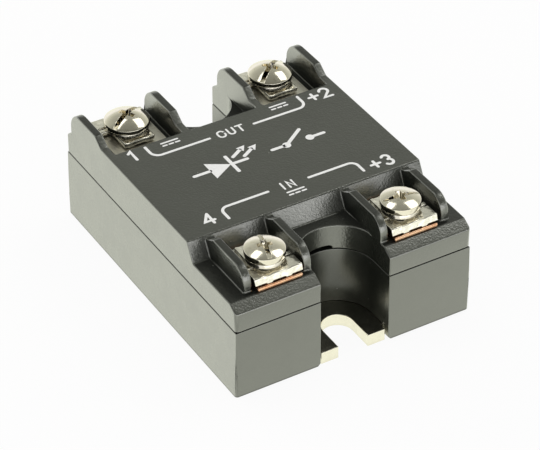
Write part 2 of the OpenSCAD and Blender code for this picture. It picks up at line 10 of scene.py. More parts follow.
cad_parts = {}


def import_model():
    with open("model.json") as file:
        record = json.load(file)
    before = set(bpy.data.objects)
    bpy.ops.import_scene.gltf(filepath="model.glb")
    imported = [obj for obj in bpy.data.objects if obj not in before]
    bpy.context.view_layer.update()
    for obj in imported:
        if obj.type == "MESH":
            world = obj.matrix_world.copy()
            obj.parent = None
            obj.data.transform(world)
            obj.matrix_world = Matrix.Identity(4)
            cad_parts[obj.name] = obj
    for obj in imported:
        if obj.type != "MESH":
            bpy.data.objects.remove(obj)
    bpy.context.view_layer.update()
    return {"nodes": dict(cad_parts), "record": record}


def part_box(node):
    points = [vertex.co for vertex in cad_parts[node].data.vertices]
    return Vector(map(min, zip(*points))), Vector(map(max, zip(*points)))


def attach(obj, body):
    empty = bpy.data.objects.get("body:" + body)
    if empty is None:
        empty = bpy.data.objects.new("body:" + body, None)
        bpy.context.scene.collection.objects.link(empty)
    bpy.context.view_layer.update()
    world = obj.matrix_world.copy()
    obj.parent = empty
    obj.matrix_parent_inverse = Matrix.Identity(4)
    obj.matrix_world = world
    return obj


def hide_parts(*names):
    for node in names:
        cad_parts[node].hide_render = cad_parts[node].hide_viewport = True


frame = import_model()
NODES = frame["nodes"]
MM = 0.001

# Height of the label plate's face, in millimetres
PLATE_TOP = 21.2
WHITE = (1, 1, 1)


def rgba(colour):
    return colour if isinstance(colour, bpy.types.NodeSocket) else (*colour, 1.0)


def times(colour, factor):
    return tuple(factor * c for c in colour)


class Nodes:
    """A node tree, with the short chains that the surfaces and the studio share."""

    def __init__(self, tree):
        self.tree = tree

    def node(self, kind, inputs=None, **settings):
        made = self.tree.nodes.new(kind)
        for key, value in settings.items():
            setattr(made, key, value)
        for key, value in (inputs or {}).items():
            self.feed(made.inputs[key], value)
        return made

    def feed(self, socket, value):
        if isinstance(value, bpy.types.NodeSocket):
            self.tree.links.new(value, socket)
        else:
            socket.default_value = value

    def math(self, operation, a, b=0.0):
        return self.node("ShaderNodeMath", {0: a, 1: b}, operation=operation).outputs["Value"]

    def product(self, first, *factors):
        for factor in factors:
            first = self.math("MULTIPLY", first, factor)
        return first

    def most(self, first, *others):
        for other in others:
            first = self.math("MAXIMUM", first, other)
        return first

    def dot(self, a, b):
        return self.node("ShaderNodeVectorMath", {0: a, 1: b}, operation="DOT_PRODUCT").outputs["Value"]

    def span(self, value, low, high, to_low=0.0, to_high=1.0):
        """Turns a value between low and high into one between to_low and to_high, held at both ends."""
        inputs = {"Value": value, "From Min": low, "From Max": high, "To Min": to_low, "To Max": to_high}
        return self.node("ShaderNodeMapRange", inputs).outputs["Result"]

    def blend(self, share, a, b):
        """Colour a where the share is 0 and colour b where it is 1."""
        made = self.node("ShaderNodeMix", data_type="RGBA")
        self.feed(made.inputs["Factor"], share)
        self.feed(made.inputs["A"], rgba(a))
        self.feed(made.inputs["B"], rgba(b))
        return made.outputs["Result"]


class Surface(Nodes):
    """A material around one shader, with the patterns that the finishes are made of."""

    # Rays that each test for an edge or a recess casts
    SAMPLES = 6

    def __init__(self, name, **constants):
        self.material = bpy.data.materials.new(name)
        self.material.use_nodes = True
        super().__init__(self.material.node_tree)
        self.shader = self.tree.nodes["Principled BSDF"]
        self.place = self.node("ShaderNodeTexCoord").outputs["Object"]
        self.set(**constants)

    def set(self, **values):
        for socket, value in values.items():
            self.feed(self.shader.inputs[socket.replace("_", " ")], value)
        return self.material

    def noise(self, per_metre, detail=3.0, stretch=(1, 1, 1)):
        place = self.node("ShaderNodeMapping", {"Vector": self.place, "Scale": stretch}).outputs["Vector"]
        inputs = {"Vector": place, "Scale": per_metre, "Detail": detail}
        return self.node("ShaderNodeTexNoise", inputs).outputs["Fac"]

    def specks(self, per_metre, share, size):
        """1 on round specks, one in a share of the cells of a random pattern; size is in cell widths."""
        cells = self.node("ShaderNodeTexVoronoi", {"Vector": self.place, "Scale": per_metre}).outputs
        chance = self.node("ShaderNodeSeparateColor", {"Color": cells["Color"]}).outputs["Red"]
        chosen = self.math("GREATER_THAN", chance, 1 - share)
        return self.product(chosen, self.math("LESS_THAN", cells["Distance"], size))

    def bump(self, height, depth_mm, strength=1.0, after=None):
        inputs = {"Height": height, "Distance": depth_mm * MM, "Strength": strength}
        if after is not None:
            inputs["Normal"] = after
        return self.node("ShaderNodeBump", inputs).outputs["Normal"]

    def worn_and_highlit_edge(self, radius_mm):
        """1 on a convex or concave edge, falling to 0 within the radius."""
        bevel = self.node("ShaderNodeBevel", {"Radius": radius_mm * MM}, samples=self.SAMPLES)
        flat = self.node("ShaderNodeNewGeometry").outputs["Normal"]
        return self.span(self.dot(bevel.outputs["Normal"], flat), 0.995, 0.9)

    def hollow(self, reach_mm, alone=False):
        """1 deep in a recess and 0 in the open; alone leaves out the other solids."""
        reach = {"Distance": reach_mm * MM}
        free = self.node("ShaderNodeAmbientOcclusion", reach, samples=self.SAMPLES, only_local=alone)
        return self.span(free.outputs["AO"], 0.92, 0.45)

    def slant(self):
        """Rises from 0 on a face seen square on to 1 on one seen along its surface."""
        return self.node("ShaderNodeLayerWeight", {"Blend": 0.5}).outputs["Facing"]

    def faces_up(self, none=0.6, full=0.8):
        """1 on faces that look up or down, 0 on upright ones."""
        normal = self.node("ShaderNodeTexCoord").outputs["Normal"]
        z = self.node("ShaderNodeSeparateXYZ", {"Vector": normal}).outputs["Z"]
        return self.span(self.math("ABSOLUTE", z), none, full)

    def along(self, axis):
        """Distance from the origin along an axis, in millimetres."""
        place = self.node("ShaderNodeSeparateXYZ", {"Vector": self.place}).outputs[axis]
        return self.math("DIVIDE", self.math("ABSOLUTE", place), MM)


# Tint of what the plastic's skin reflects
SKIN_TINT = (0.97, 1.0, 0.90, 1)
# Pale colour of the plastic's edges, partly wear and partly a painted highlight
EDGE_WEAR_AND_HIGHLIGHT = (0.13, 0.14, 0.12)
DUST = (0.42, 0.42, 0.39)
PLASTIC_ROUGHNESS = (0.30, 0.44)
# Depth of the mould's grain, in millimetres
GRAIN_DEPTH = 0.05
# Upright part of the normal from which a face begins to count as level, and fully does
LEVEL = (0.88, 0.96)
# How far from the plate's height, in millimetres, a level face still is the plate, and no longer is
PLATE_EDGE = (0.15, 0.4)
# Painted shade on the other level faces, which darkens their colour and dulls their coat, and the slants
# between which the dulling fades
LEDGE_SHADE = 0.85
LEDGE_FADE = (0.5, 0.75)
# Slants between which the plate begins to be seen low, and fully is
LOW_VIEW = (0.43, 0.6)
# Heights in millimetres at which the case's foot ends, and is full: its duller coat is a painted shade line
# at the floor
FOOT = (0.6, 0.15)
# Share of the coat, and of the skin's specular level, that is left in each place
COAT_LEFT = {"level": 0.32, "plate_seen_low": 0.12, "in_reflections": 0.08, "foot": 0.1}
SKIN_LEFT = {"level": 0.65, "plate_seen_low": 0.2, "in_reflections": 0.3, "foot": 0.1}


def plastic_colour(s, dark, light, grain, painted_shade):
    """Two mottled shades with pale grain, edges paled by wear and by a painted highlight, painted shade where
    the shade share is, and a little dust.
    """
    colour = s.blend(s.span(s.noise(110, 4), 0.3, 0.7), dark, light)
    colour = s.blend(s.span(grain, 0.55, 0.8, 0.0, 0.5), colour, times(light, 2.2))
    # Edges paled partly by wear and partly as a painted highlight
    wear_and_highlight = s.span(s.noise(900, 3), 0.3, 0.65, 0.05, 0.25)
    colour = s.blend(s.product(s.worn_and_highlit_edge(0.22), wear_and_highlight), colour, EDGE_WEAR_AND_HIGHLIGHT)
    # Painted shade: darker in the recesses and on the level faces off the label plate
    colour = s.blend(s.product(painted_shade, 0.6), colour, times(dark, 0.3))
    return s.blend(s.product(s.specks(620, share=0.09, size=0.055), 0.6), colour, DUST)


def plastic_sheen(s, slant):
    """Share of the coat by slant: all on a face seen low, half on one seen square on, least in between."""
    least = 0.3
    seen_low = s.span(slant, 0.3, 0.6, least, 1.0)
    square_on = s.span(slant, 0.26, 0.12, least, 0.5)
    return s.most(seen_low, square_on)


def moulded_plastic(name, dark, light, grain_mm, grain_strength, reach_mm, closed):
    """Charcoal plastic with a satin skin over a sparked mould texture.

    Recesses are looked for within the reach, and closed is the share of the coat that is left deep in one;
    recesses and the level faces off the label plate get painted shade, a darker colour and a duller coat.
    """
    s = Surface(name, IOR=2.0, Coat_Weight=0.5, Coat_IOR=4.0, Coat_Roughness=0.2,
                Specular_Tint=SKIN_TINT, Coat_Tint=SKIN_TINT)
    slant = s.slant()
    level = s.faces_up(*LEVEL)
    off_plate = s.math("ABSOLUTE", s.math("SUBTRACT", s.along("Z"), PLATE_TOP))
    # Painted shade: the hollows and the level faces off the label plate get a darker colour and a duller coat
    hollow = s.hollow(reach_mm, alone=True)
    ledge = s.product(level, s.span(off_plate, *PLATE_EDGE, 0.0, LEDGE_SHADE))
    dull = s.most(hollow, s.product(ledge, s.span(slant, *LEDGE_FADE, 1.0, 0.0)))
    on_plate = s.product(level, s.span(off_plate, *reversed(PLATE_EDGE)))
    places = {
        "level": level,
        "plate_seen_low": s.product(on_plate, s.span(slant, *LOW_VIEW)),
        "in_reflections": s.node("ShaderNodeLightPath").outputs["Is Glossy Ray"],
        # A duller coat at the case's foot, a painted shade line at the floor
        "foot": s.span(s.along("Z"), *FOOT),
    }
    coat = s.product(plastic_sheen(s, slant), s.span(dull, 0, 1, 1.0, closed))
    skin = s.span(dull, 0, 1, 0.5, 2 * closed)
    for place, share in places.items():
        coat = s.product(coat, s.span(share, 0, 1, 1.0, COAT_LEFT[place]))
        skin = s.product(skin, s.span(share, 0, 1, 1.0, SKIN_LEFT[place]))
    grain = s.noise(1 / (grain_mm * MM), 2)
    normal = s.bump(grain, GRAIN_DEPTH, grain_strength)
    return s.set(
        Base_Color=plastic_colour(s, dark, light, grain, s.most(hollow, ledge)),
        Roughness=s.span(s.noise(300, 4), 0.3, 0.7, *PLASTIC_ROUGHNESS),
        Specular_IOR_Level=skin, Normal=normal, Coat_Weight=coat, Coat_Normal=normal)


def metal_skin(s, bright, dull, rough, brushed, scratch_mm, hollow_darkening=0.5):
    """Colour, roughness and normal of plated metal: drawn lines, cloudy patches and tarnish, darker in the
    hollows.
    """
    cloud = s.span(s.noise(420, 4), 0.35, 0.75)
    tarnish = s.product(s.span(s.noise(1500, 3), 0.58, 0.75), 0.3)
    colour = s.blend(tarnish, s.blend(cloud, bright, times(bright, 0.92)), dull)
    # Darker colour in the hollows, found by occlusion
    colour = s.blend(s.product(s.hollow(0.9), hollow_darkening), colour, times(dull, 0.5))
    lines = s.noise(2600, 3, brushed)
    return colour, s.span(lines, 0.25, 0.75, rough, rough + 0.12), s.bump(lines, scratch_mm, 0.35)


def plated_metal(name, bright, dull, rough, brushed=(1, 1, 1), scratch_mm=0.004, hollow_darkening=0.5, dent_mm=0.0):
    """Plated metal with brush lines along the axis of the least stretch, and dents if it was pressed."""
    s = Surface(name, Metallic=1.0)
    colour, roughness, normal = metal_skin(s, bright, dull, rough, brushed, scratch_mm, hollow_darkening)
    if dent_mm:
        normal = s.bump(s.noise(800, 1), dent_mm, 0.7, normal)
    return s.set(Base_Color=colour, Roughness=roughness, Normal=normal)


def copper_skin(s, bright, aged):
    """Bare copper, orange where sheared and brown where it has aged."""
    return s.blend(s.span(s.noise(700, 4), 0.42, 0.7), bright, aged)


def copper_metal(name, bright, aged, rough):
    s = Surface(name, Metallic=1.0)
    lines = s.noise(3000, 2, (1, 0.15, 4))
    roughness = s.span(lines, 0.25, 0.75, rough, rough + 0.16)
    normal = s.bump(lines, 0.006, 0.4)
    return s.set(Base_Color=copper_skin(s, bright, aged), Roughness=roughness, Normal=normal)


def plated_copper(name, plating, dull, bright, aged, rough, bare_from_mm):
    """Strip plated on its two faces, with bare copper at its sheared edges and at the end under the wire."""
    s = Surface(name, Metallic=1.0)
    colour, roughness, normal = metal_skin(s, plating, dull, rough, brushed=(1, 0.1, 1), scratch_mm=0.006)
    plated = s.product(s.faces_up(), s.span(s.along("Y"), bare_from_mm, bare_from_mm - 0.6))
    colour = s.blend(plated, copper_skin(s, bright, aged), colour)
    return s.set(Base_Color=colour, Roughness=roughness, Normal=normal)


def printed_ink(name):
    """White pad print: thin and slightly uneven."""
    s = Surface(name)
    pale = s.blend(s.span(s.noise(1800, 3), 0.35, 0.7), (0.95, 0.95, 0.93), (0.88, 0.88, 0.86))
    roughness = s.span(s.noise(2400, 2), 0.3, 0.7, 0.5, 0.7)
    normal = s.bump(s.noise(4200, 2), 0.008, 0.4)
    return s.set(Base_Color=pale, Roughness=roughness, Normal=normal)


def small_part(name, first, second, rough, per_metre=900):
    """Finish of an inner part: two close shades, mottled, with a fine uneven skin."""
    s = Surface(name)
    colour = s.blend(s.span(s.noise(per_metre, 4), 0.35, 0.68), first, second)
    roughness = s.span(s.noise(2 * per_metre, 3), 0.3, 0.7, rough - 0.05, rough + 0.1)
    normal = s.bump(s.noise(3 * per_metre, 2), 0.01, 0.35)
    return s.set(Base_Color=colour, Roughness=roughness, Normal=normal)


NICKEL_DULL = (0.48, 0.42, 0.31)
# Finish of each slot
FINISHES = {
    "case_plastic": (moulded_plastic, dict(
        dark=(0.013, 0.0145, 0.012), light=(0.020, 0.0215, 0.018),
        grain_mm=0.22, grain_strength=0.3, reach_mm=16, closed=0.03)),
    "cover_plastic": (moulded_plastic, dict(
        dark=(0.011, 0.012, 0.010), light=(0.017, 0.0185, 0.0155),
        grain_mm=0.34, grain_strength=0.85, reach_mm=6, closed=0.15)),
    "baseplate_metal": (plated_metal, dict(
        bright=(0.97, 0.93, 0.80), dull=(0.82, 0.76, 0.60), rough=0.14,
        brushed=(0.06, 1, 1), scratch_mm=0.003, hollow_darkening=0.15)),
    "plated_strip": (plated_metal, dict(
        bright=(0.97, 0.94, 0.83), dull=NICKEL_DULL, rough=0.34,
        brushed=(1, 0.1, 1), scratch_mm=0.006, hollow_darkening=0.1)),
    "copper_strip": (plated_copper, dict(
        plating=(0.90, 0.88, 0.80), dull=NICKEL_DULL,
        bright=(1.0, 0.64, 0.42), aged=(0.96, 0.48, 0.27), rough=0.2, bare_from_mm=25.6)),
    "clamp_metal": (plated_metal, dict(
        bright=(0.98, 0.95, 0.85), dull=NICKEL_DULL, rough=0.16,
        brushed=(1, 0.2, 1), scratch_mm=0.004, hollow_darkening=0.3, dent_mm=0.18)),
    "washer_metal": (plated_metal, dict(bright=(0.96, 0.92, 0.81), dull=NICKEL_DULL, rough=0.14)),
    "screw_metal": (plated_metal, dict(
        bright=(0.91, 0.86, 0.73), dull=NICKEL_DULL, rough=0.06,
        brushed=(1, 1, 0.2), scratch_mm=0.002, hollow_darkening=0.1)),
    "ceramic": (small_part, dict(first=(0.86, 0.85, 0.80), second=(0.78, 0.77, 0.72), rough=0.35)),
    "land_copper": (copper_metal, dict(bright=(0.80, 0.42, 0.25), aged=(0.58, 0.28, 0.16), rough=0.3)),
    "silicon": (small_part, dict(first=(0.10, 0.10, 0.12), second=(0.16, 0.16, 0.19), rough=0.12)),
    "board_laminate": (small_part, dict(first=(0.03, 0.16, 0.07), second=(0.05, 0.22, 0.10), rough=0.4)),
    "lead_metal": (plated_metal, dict(bright=(0.76, 0.76, 0.74), dull=(0.5, 0.5, 0.47), rough=0.25)),
    "black_resin": (small_part, dict(first=(0.015, 0.015, 0.015), second=(0.03, 0.03, 0.03), rough=0.5)),
    "resistor_body": (small_part, dict(first=(0.28, 0.42, 0.50), second=(0.34, 0.48, 0.55), rough=0.35)),
    "zener_body": (small_part, dict(first=(0.50, 0.14, 0.06), second=(0.62, 0.22, 0.10), rough=0.15)),
    "capacitor_sleeve": (small_part, dict(first=(0.02, 0.025, 0.10), second=(0.03, 0.04, 0.14), rough=0.3)),
    "gel": (small_part, dict(first=(0.60, 0.58, 0.50), second=(0.68, 0.66, 0.58), rough=0.3, per_metre=300)),
}
FINISH = {slot: make(slot, **look) for slot, (make, look) in FINISHES.items()}
INK = printed_ink("print_ink")

# Rounding of the edges that show, in millimetres
ROUNDING = {
    "case_plastic": 0.12, "cover_plastic": 0.24, "baseplate_metal": 0.12, "plated_strip": 0.06,
    "copper_strip": 0.2, "clamp_metal": 0.14, "washer_metal": 0.05,
}
HEAD_ROUNDING = 0.05
# Pieces with rounder edges than their slot
ROUNDER = {"output_clamp_1": 0.26, "output_clamp_2": 0.26}
# The cover's flat faces aren't merged before rounding, because its ledges are too branched for it
MERGED = set(ROUNDING) - {"cover_plastic"}
# Angles in degrees: between faces that merge, and over which an edge is rounded
FLAT_ANGLE = 0.5
EDGE_ANGLE = 28


def dress(name, slot):
    """Gives a solid its finish, and rounds its edges where they show."""
    solid = NODES[name]
    solid.data.materials.clear()
    solid.data.materials.append(FINISH[slot])
    if slot not in ROUNDING:
        return
    weld = solid.modifiers.new("weld", "WELD")
    weld.merge_threshold = 0.001 * MM
    if slot in MERGED:
        planar = solid.modifiers.new("planar", "DECIMATE")
        planar.decimate_type = "DISSOLVE"
        planar.angle_limit = math.radians(FLAT_ANGLE)
    round_edges(solid, ROUNDER.get(name, ROUNDING[slot]))


def round_edges(piece, radius_mm):
    bevel = piece.modifiers.new("round", "BEVEL")
    bevel.limit_method = "ANGLE"
    bevel.angle_limit = math.radians(EDGE_ANGLE)
    bevel.width = radius_mm * MM
    bevel.segments = 3
    bevel.use_clamp_overlap = False
    bevel.loop_slide = False
    bevel.miter_outer = "MITER_ARC"
    normals = piece.modifiers.new("normals", "WEIGHTED_NORMAL")
    normals.weight = 100
    normals.keep_sharp = False


for part in frame["record"]["subparts"]:
    dress(part["node"], part["material_slot"])


def new_piece(name, mesh, material, body):
    piece = bpy.data.objects.new(name, mesh)
    bpy.context.scene.collection.objects.link(piece)
    mesh.materials.append(material)
    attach(piece, body)
    return piece


def smooth(mesh, sharp_over=32):
    """Shades the mesh smooth but for edges over an angle in degrees."""
    mesh.polygons.foreach_set("use_smooth", [True] * len(mesh.polygons))
    mesh.set_sharp_from_angle(angle=math.radians(sharp_over))


def wall(bm, lower, upper):
    """Faces between two rings of the same count."""
    count = len(lower)
    for i in range(count):
        j = (i + 1) % count
        bm.faces.new((lower[i], lower[j], upper[j], upper[i]))


def closed_grid(rows, sides, radius_at):
    """Closed skin round the Z axis: a row has one height, and radius_at(row, angle) gives its radius."""
    angles = [2 * math.pi * i / sides for i in range(sides)]
    bm = bmesh.new()
    rings = []
    for row in rows:
        points = [(radius_at(row, a), a) for a in angles]
        places = [(r * math.cos(a) * MM, r * math.sin(a) * MM, row["z"] * MM) for r, a in points]
        rings.append([bm.verts.new(place) for place in places])
    for lower, upper in zip(rings, rings[1:]):
        wall(bm, lower, upper)
    bm.faces.new(list(reversed(rings[0])))
    bm.faces.new(rings[-1])
    return bm


def to_mesh(bm, name):
    bmesh.ops.recalc_face_normals(bm, faces=bm.faces)
    mesh = bpy.data.meshes.new(name)
    bm.to_mesh(mesh)
    bm.free()
    return mesh


# Screws in millimetres: the head's underside, diameter, straight rim and dome, the shank and its length
HEADS = {
    "output": {"z": 20.42, "d": 7.8, "rim": 0.8, "dome": 1.3, "shank": 4.17, "length": 9.0},
    "input": {"z": 20.82, "d": 6.8, "rim": 1.15, "dome": 0.7, "shank": 3.5, "length": 8.5},
}
# Kind of each terminal, and the turn of its screw's slot in degrees
TERMINALS = {1: ("output", 30), 2: ("output", 38), 3: ("input", 173), 4: ("input", 256)}
HEAD_SIDES = 96
# Rounding under the rim: heights, and how far in from the rim the skin is there
LOWER_RIM = ((0.0, 0.16), (0.05, 0.05), (0.12, 0.0))
# Height of the rounding over the rim
UPPER_RIM = 0.1
DOME_STEPS = 14
# Half widths of the slot at its top and foot and reach of the cross, as shares of the head's diameter
SLOT_TOP = 0.062
SLOT_FOOT = 0.04
CROSS_REACH = 0.22
# Half width of the cross, its floor over the head's underside, and the slot's floor over the rim
CROSS_HALF = 0.5
CROSS_FLOOR = 0.35
SLOT_FLOOR = 0.1
# Shares of the cross's reach and width that are left at its floor
CROSS_TAPER = (0.45, 0.6)
# How far the cutters stand over the dome
OVER = 0.4
THREAD_PITCH = 25.4 / 32
THREAD_DEPTH = 0.45
THREAD_SIDES = 64
THREAD_STEPS = 8
# How far the thread runs up into the head
THREAD_END = 0.15
# Steepness of the ridge in a turn, and how much of it the root cuts off
RIDGE_RISE = 2.6
RIDGE_CUT = 0.15
# Radius of the tip as a share of the thread's, and its growth for each millimetre from there
TIP_SHARE = 0.62
TIP_GROWTH = 0.9
# Angle in degrees over which an edge of the thread is sharp
THREAD_SHARP = 50


def head_rows(head):
    """Outline of a pan head from its underside to the middle of its dome."""
    radius = head["d"] / 2
    rows = [{"z": z, "r": radius - inset} for z, inset in LOWER_RIM]
    rows.append({"z": head["rim"] - UPPER_RIM, "r": radius})
    rows.append({"z": head["rim"] - 0.4 * UPPER_RIM, "r": radius - 0.12 * UPPER_RIM})
    ball = (radius ** 2 + head["dome"] ** 2) / (2 * head["dome"])
    for i in range(DOME_STEPS):
        r = (radius - 0.5 * UPPER_RIM) * (1 - i / DOME_STEPS)
        rows.append({"z": head["rim"] + head["dome"] - ball + math.sqrt(ball ** 2 - r ** 2), "r": r})
    return rows


def tapered_prism(name, top, bottom, z0, z1):
    """Prism from z0 to z1 whose half sizes go from bottom to top."""
    bm = bmesh.new()
    corners = [(-1, -1), (1, -1), (1, 1), (-1, 1)]
    lower = [bm.verts.new((sx * bottom[0] * MM, sy * bottom[1] * MM, z0 * MM)) for sx, sy in corners]
    upper = [bm.verts.new((sx * top[0] * MM, sy * top[1] * MM, z1 * MM)) for sx, sy in corners]
    bm.faces.new(list(reversed(lower)))
    bm.faces.new(upper)
    wall(bm, lower, upper)
    return to_mesh(bm, name)


def cut(mesh, cutters):
    """The mesh with each cutter taken out of it."""
    target = bpy.data.objects.new("cut_target", mesh)
    bpy.context.scene.collection.objects.link(target)
    tools = []
    for cutter in cutters:
        tool = bpy.data.objects.new("cut_tool", cutter)
        bpy.context.scene.collection.objects.link(tool)
        step = target.modifiers.new("cut", "BOOLEAN")
        step.operation = "DIFFERENCE"
        step.solver = "EXACT"
        step.object = tool
        tools.append(tool)
    shaped = target.evaluated_get(bpy.context.evaluated_depsgraph_get())
    result = bpy.data.meshes.new_from_object(shaped)
    for made in [target, *tools]:
        bpy.data.objects.remove(made)
    return result


def head_mesh(name, head):
    """Pan head with a slot from rim to rim and a tapered cross in its middle."""
    skin = to_mesh(closed_grid(head_rows(head), HEAD_SIDES, lambda row, angle: row["r"]), name)
    d = head["d"]
    top = head["rim"] + head["dome"] + OVER
    slot = tapered_prism(name + "_slot", (d, SLOT_TOP * d), (d, SLOT_FOOT * d), head["rim"] + SLOT_FLOOR, top)
    wing = CROSS_REACH * d
    foot = (CROSS_TAPER[0] * wing, CROSS_TAPER[1] * CROSS_HALF)
    arm_along = tapered_prism(name + "_cross", (wing, CROSS_HALF), foot, CROSS_FLOOR, top)
    arm_across = tapered_prism(name + "_cross", (CROSS_HALF, wing), foot[::-1], CROSS_FLOOR, top)
    return cut(skin, [slot, arm_along, arm_across])


def thread_mesh(name, head):
    """Right-hand thread under a head, tapered at its tip."""
    major = head["shank"] / 2
    step = THREAD_PITCH / THREAD_STEPS
    count = int(head["length"] / step)
    rows = [{"z": -head["length"] + i * step} for i in range(count + 1)] + [{"z": THREAD_END}]

    def radius_at(row, angle):
        phase = (row["z"] / THREAD_PITCH - angle / (2 * math.pi)) % 1
        ridge = min(1.0, max(0.0, RIDGE_RISE * (0.5 - abs(phase - 0.5)) - RIDGE_CUT))
        from_tip = row["z"] + head["length"]
        return min(major - THREAD_DEPTH * (1 - ridge), TIP_SHARE * major + TIP_GROWTH * from_tip)

    mesh = to_mesh(closed_grid(rows, THREAD_SIDES, radius_at), name)
    smooth(mesh, THREAD_SHARP)
    return mesh


def screw(number, kind, turn):
    """Head and thread in place of a terminal's plain screw."""
    head = HEADS[kind]
    node = f"{kind}_screw_{number}"
    low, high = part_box(node)
    axis = (low + high) / 2
    place = Matrix.Translation((axis.x, axis.y, head["z"] * MM)) @ Matrix.Rotation(math.radians(turn), 4, "Z")
    body = f"screw_{number}"
    mesh = head_mesh(f"screw_head_{number}", head)
    mesh.transform(place)
    smooth(mesh)
    piece = new_piece(f"screw_head_{number}", mesh, FINISH["screw_metal"], body)
    round_edges(piece, HEAD_ROUNDING)
    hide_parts(node)
    thread = thread_mesh(f"screw_thread_{number}", head)
    thread.transform(place)
    new_piece(f"screw_thread_{number}", thread, FINISH["screw_metal"], body)


for number, (kind, turn) in TERMINALS.items():
    screw(number, kind, turn)


# Print on the label plate, in millimetres: widths of its strokes, and heights of the ink
STROKE = 0.50
SMALL_STROKE = 0.34
SCHEME_STROKE = 0.62
INK_TOP = PLATE_TOP + 0.03
INK_FOOT = PLATE_TOP - 0.02
# Each stroke of a piece stands this much over the one before, so that no two faces coincide where they cross
INK_STEP = 0.002


def arc(cx, cy, r, start, end, steps=10):
    angles = [math.radians(start + (end - start) * i / steps) for i in range(steps + 1)]
    return [(cx + r * math.cos(a), cy + r * math.sin(a)) for a in angles]


def ribbon(points, width):
    """Outline of a stroke along the points, with round ends."""
    half = width / 2
    points = [Vector(p) for p in points]
    heads = [(b - a).normalized() for a, b in zip(points, points[1:])]
    left, right = [], []
    for i, p in enumerate(points):
        before = heads[max(i - 1, 0)]
        after = heads[min(i, len(heads) - 1)]
        side = Vector((-before.y - after.y, before.x + after.x)).normalized()
        reach = half / max(0.5, side.dot(Vector((-after.y, after.x))))
        left.append(p + side * reach)
        right.append(p - side * reach)

    def cap(centre, start):
        begin = math.degrees(math.atan2(start.y - centre.y, start.x - centre.x))
        return [Vector(q) for q in arc(centre.x, centre.y, half, begin, begin - 180, 8)][1:-1]

    return left + cap(points[-1], left[-1]) + list(reversed(right)) + cap(points[0], right[0])


def printed(name, outlines):
    """Flat islands of ink with the outlines."""
    bm = bmesh.new()
    for level, outline in enumerate(outlines):
        top = INK_TOP + INK_STEP * level
        upper = [bm.verts.new((p[0] * MM, p[1] * MM, top * MM)) for p in outline]
        lower = [bm.verts.new((p[0] * MM, p[1] * MM, INK_FOOT * MM)) for p in outline]
        bm.faces.new(upper)
        bm.faces.new(list(reversed(lower)))
        wall(bm, lower, upper)
    bmesh.ops.triangulate(bm, faces=[f for f in bm.faces if len(f.verts) > 4])
    new_piece(name, to_mesh(bm, name), INK, "housing")


def stroked(name, strokes, width=STROKE):
    printed(name, [ribbon(points, width) for points in strokes])


def moved(strokes, x, y, size=1.0):
    return [[(x + size * px, y + size * py) for px, py in points] for points in strokes]


# Strokes of each sign in a cell about 1.7 wide and 2.6 high, from its lower left corner
SIGNS = {
    "1": [[(0.25, 2.05), (0.85, 2.6), (0.85, 0.0)]],
    "2": [arc(0.85, 1.8, 0.78, 165, -35, 12) + [(0.1, 0.0), (1.7, 0.0)]],
    "3": [arc(0.8, 1.95, 0.65, 150, -75, 12), arc(0.8, 0.68, 0.72, 75, -150, 12)],
    "4": [[(1.25, 0.0), (1.25, 2.6)], [(1.25, 2.6), (0.0, 0.75), (1.75, 0.75)]],
    "+": [[(0.0, 1.2), (1.7, 1.2)], [(0.85, 0.35), (0.85, 2.05)]],
    "I": [[(0.3, 0.0), (0.3, 2.6)]],
    "N": [[(0.1, 0.0), (0.1, 2.6), (1.6, 0.0), (1.6, 2.6)]],
    "O": [arc(0.95, 1.65, 0.95, 0, 180, 12) + arc(0.95, 0.95, 0.95, 180, 360, 12) + [(1.9, 1.65)]],
    "U": [[(0.1, 2.6)] + arc(0.9, 0.8, 0.8, 180, 360, 12) + [(1.7, 2.6)]],
    "T": [[(0.0, 2.6), (1.8, 2.6)], [(0.9, 2.6), (0.9, 0.0)]],
}
# Sign for direct current: a line over three dashes
DIRECT_CURRENT = [[(0.0, 1.5), (3.6, 1.5)]] + [[(x, 0.6), (x + 0.8, 0.6)] for x in (0.0, 1.4, 2.8)]
CURRENT_SIZE = 0.85
LETTER_SIZE = 0.66
# Step from the start of each letter to the next
LETTER_STEP = {"I": 1.2, "N": 1.8, "O": 1.9, "U": 1.8, "T": 1.8}
# Sign and lower left corner of each mark at the terminals
TERMINAL_MARKS = {
    "print_1": ("1", -19.0, 10.2),
    "print_2": ("2", 18.0, 10.0),
    "print_2_sign": ("+", 15.6, 10.0),
    "print_3": ("3", 16.5, -12.1),
    "print_3_sign": ("+", 14.1, -12.1),
    "print_4": ("4", -17.0, -11.3),
}
CURRENT_MARKS = {"output_left": (-12.6, 10.9), "output_right": (8.4, 10.9), "input": (-1.6, -11.6)}

for name, (sign, x, y) in TERMINAL_MARKS.items():
    stroked(name, moved(SIGNS[sign], x, y))
for name, (x, y) in CURRENT_MARKS.items():
    stroked(f"print_current_{name}", moved(DIRECT_CURRENT, x, y, CURRENT_SIZE), SMALL_STROKE)


def legend(name, word, x, y):
    strokes = []
    for letter in word:
        strokes += moved(SIGNS[letter], x, y, LETTER_SIZE)
        x += LETTER_STEP[letter]
    stroked(name, strokes, SMALL_STROKE)


legend("print_output", "OUT", -3.2, 8.6)
legend("print_input", "IN", -1.6, -9.3)


def bracket(name, left, right, line_y, leg_y, gap, r):
    """Line broken in its middle, turned round a corner at each end towards its terminals."""
    side = 1 if leg_y > line_y else -1
    turn_y = line_y + side * r
    start = [(left, leg_y)] + arc(left + r, turn_y, r, 180, 180 + side * 90) + [(gap[0], line_y)]
    end = [(gap[1], line_y)] + arc(right - r, turn_y, r, -side * 90, 0) + [(right, leg_y)]
    stroked(name + "_left", [start])
    stroked(name + "_right", [end])


